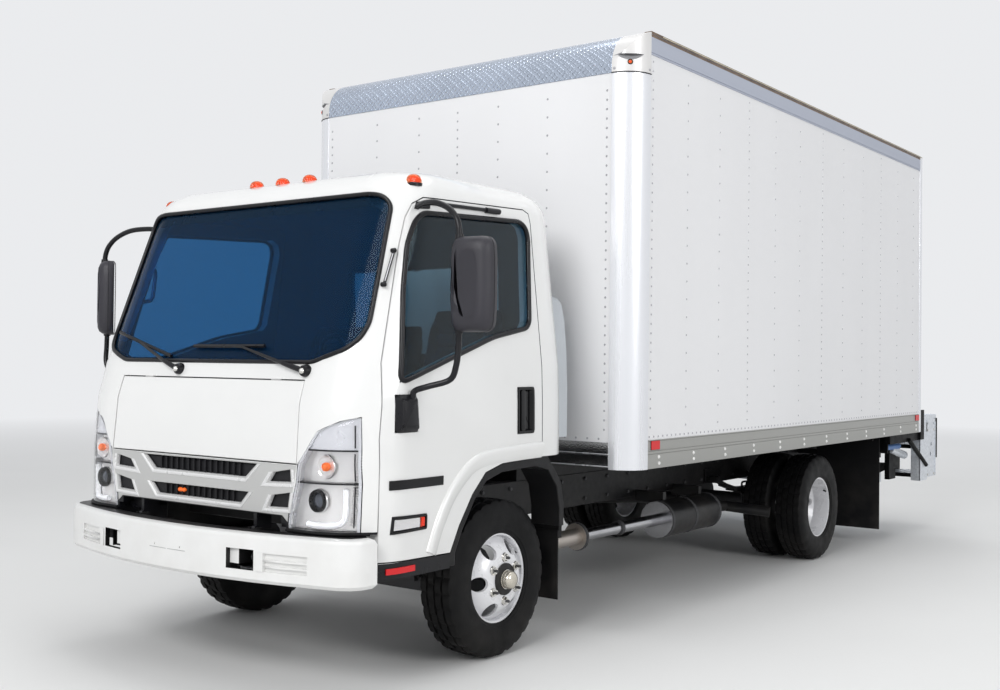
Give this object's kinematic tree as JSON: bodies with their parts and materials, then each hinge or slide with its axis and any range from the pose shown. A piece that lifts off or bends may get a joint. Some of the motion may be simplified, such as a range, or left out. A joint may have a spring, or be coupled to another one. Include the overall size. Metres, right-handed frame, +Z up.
{
  "type": "box truck",
  "caption": "Cab-over box truck with a riveted cargo body, twin rear wheels, roll-up rear door and a tail lift folded under the deck.",
  "frame": {"origin": "on the ground under the middle of the truck's overall box", "axes": "+Z up, the front faces -Y, +X is the driver's side"},
  "size_m": [2.77, 7.45, 3.236],
  "materials": {
    "white_paint": "gloss",
    "white_panel": "satin",
    "black_paint": "satin",
    "aluminium": "satin",
    "galvanised": "satin",
    "silver_trim": "satin",
    "black_plastic": "matt",
    "dark_glass": "gloss",
    "lamp_clear": "gloss",
    "lamp_amber": "gloss",
    "lamp_red": "gloss",
    "wheel_paint": "gloss",
    "tyre": "matt",
    "rubber": "matt",
    "cast_iron": "matt",
    "exhaust_steel": "satin",
    "seat_fabric": "matt",
    "dash_plastic": "matt",
    "floor_wood": "satin"
  },
  "bodies": {
    "root": {"frame_rails": "black_paint", "front_bumper": "white_paint", "front_axle": "cast_iron", "rear_axle": "cast_iron", "leaf_springs": "cast_iron", "engine_block": "cast_iron", "drive_shaft": "cast_iron", "fuel_tank": "black_paint", "exhaust": "exhaust_steel", "mud_flaps": "rubber", "box_floor": "floor_wood", "box_front_wall": "white_panel", "box_wall_left": "white_panel", "box_wall_right": "white_panel", "box_side_rails": "aluminium", "box_roof": "aluminium", "box_front_radius": "aluminium", "box_corner_posts": "aluminium", "box_corner_caps": "white_paint", "rear_door_frame": "white_panel", "roll_up_door": "white_panel", "tail_lamps": "lamp_red", "liftgate_frame": "galvanised"},
    "liftgate_arms": {"liftgate_arms": "black_paint"},
    "liftgate_platform": {"liftgate_platform": "galvanised"},
    "cab": {"cab_shell": "white_paint", "grille": "silver_trim", "grille_screen": "black_plastic", "headlamps": "lamp_clear", "cab_glass": "dark_glass", "wheel_arch_flares": "black_plastic", "roof_lamps": "lamp_amber", "dashboard": "dash_plastic", "steering_wheel": "black_plastic", "seats": "seat_fabric", "wipers": "black_plastic"},
    "front_lid": {"front_lid": "white_paint"},
    "door_left": {"door_left": "white_paint", "door_glass_left": "dark_glass", "door_fittings_left": "black_plastic"},
    "door_right": {"door_right": "white_paint", "door_glass_right": "dark_glass", "door_fittings_right": "black_plastic"},
    "knuckle_left": {"knuckle_left": "cast_iron"},
    "knuckle_right": {"knuckle_right": "cast_iron"},
    "tie_rod": {"tie_rod": "cast_iron"},
    "front_wheel_left": {"front_tyre_left": "tyre", "front_rim_left": "wheel_paint"},
    "front_wheel_right": {"front_tyre_right": "tyre", "front_rim_right": "wheel_paint"},
    "rear_wheels_left": {"rear_tyres_left": "tyre", "rear_rims_left": "wheel_paint"},
    "rear_wheels_right": {"rear_tyres_right": "tyre", "rear_rims_right": "wheel_paint"}
  },
  "joints": [
    {"name": "cab_tilt", "type": "hinge", "parent": "root", "child": "cab", "pos_m": [0, -3.559, 0.694], "axis": [1, 0, 0], "range_deg": [0, 45]},
    {"name": "front_lid", "type": "hinge", "parent": "cab", "child": "front_lid", "pos_m": [0, -3.506, 1.352], "axis": [-1, 0, 0], "range_deg": [0, 70]},
    {"name": "door_left", "type": "hinge", "parent": "cab", "child": "door_left", "pos_m": [0.985, -3.405, 1.3], "axis": [0, 0, -1], "range_deg": [0, 70]},
    {"name": "door_right", "type": "hinge", "parent": "cab", "child": "door_right", "pos_m": [-0.985, -3.405, 1.3], "axis": [0, 0, 1], "range_deg": [0, 70]},
    {"name": "steer_left", "type": "hinge", "parent": "root", "child": "knuckle_left", "pos_m": [0.7, -2.463, 0.38414], "axis": [0, 0, 1], "range_deg": [-35, 35]},
    {"name": "steer_right", "type": "hinge", "parent": "root", "child": "knuckle_right", "pos_m": [-0.7, -2.463, 0.38414], "axis": [0, 0, 1], "range_deg": [-35, 35]},
    {"name": "tie_rod_pivot", "type": "hinge", "parent": "knuckle_left", "child": "tie_rod", "pos_m": [0.7, -2.303, 0.3], "axis": [0, 0, 1], "range_deg": [-35, 35]},
    {"name": "front_wheel_left_spin", "type": "hinge", "parent": "knuckle_left", "child": "front_wheel_left", "pos_m": [0.832, -2.463, 0.38414], "axis": [1, 0, 0], "continuous": true},
    {"name": "front_wheel_right_spin", "type": "hinge", "parent": "knuckle_right", "child": "front_wheel_right", "pos_m": [-0.832, -2.463, 0.38414], "axis": [1, 0, 0], "continuous": true},
    {"name": "rear_wheels_left_spin", "type": "hinge", "parent": "root", "child": "rear_wheels_left", "pos_m": [0.825, 1.347, 0.38414], "axis": [1, 0, 0], "continuous": true},
    {"name": "rear_wheels_right_spin", "type": "hinge", "parent": "root", "child": "rear_wheels_right", "pos_m": [-0.825, 1.347, 0.38414], "axis": [1, 0, 0], "continuous": true},
    {"name": "liftgate_lift", "type": "hinge", "parent": "root", "child": "liftgate_arms", "pos_m": [0, 2.837, 0.5], "axis": [-1, 0, 0], "range_deg": [0, 33]},
    {"name": "liftgate_level", "type": "hinge", "parent": "liftgate_arms", "child": "liftgate_platform", "pos_m": [0, 3.517, 0.53], "axis": [-1, 0, 0], "range_deg": [-33, 0]}
  ],
  "couplings": [
    {"joint": "steer_right", "follows": "steer_left", "ratio": 1},
    {"joint": "tie_rod_pivot", "follows": "steer_left", "ratio": -1},
    {"joint": "liftgate_level", "follows": "liftgate_lift", "ratio": -1}
  ]
}
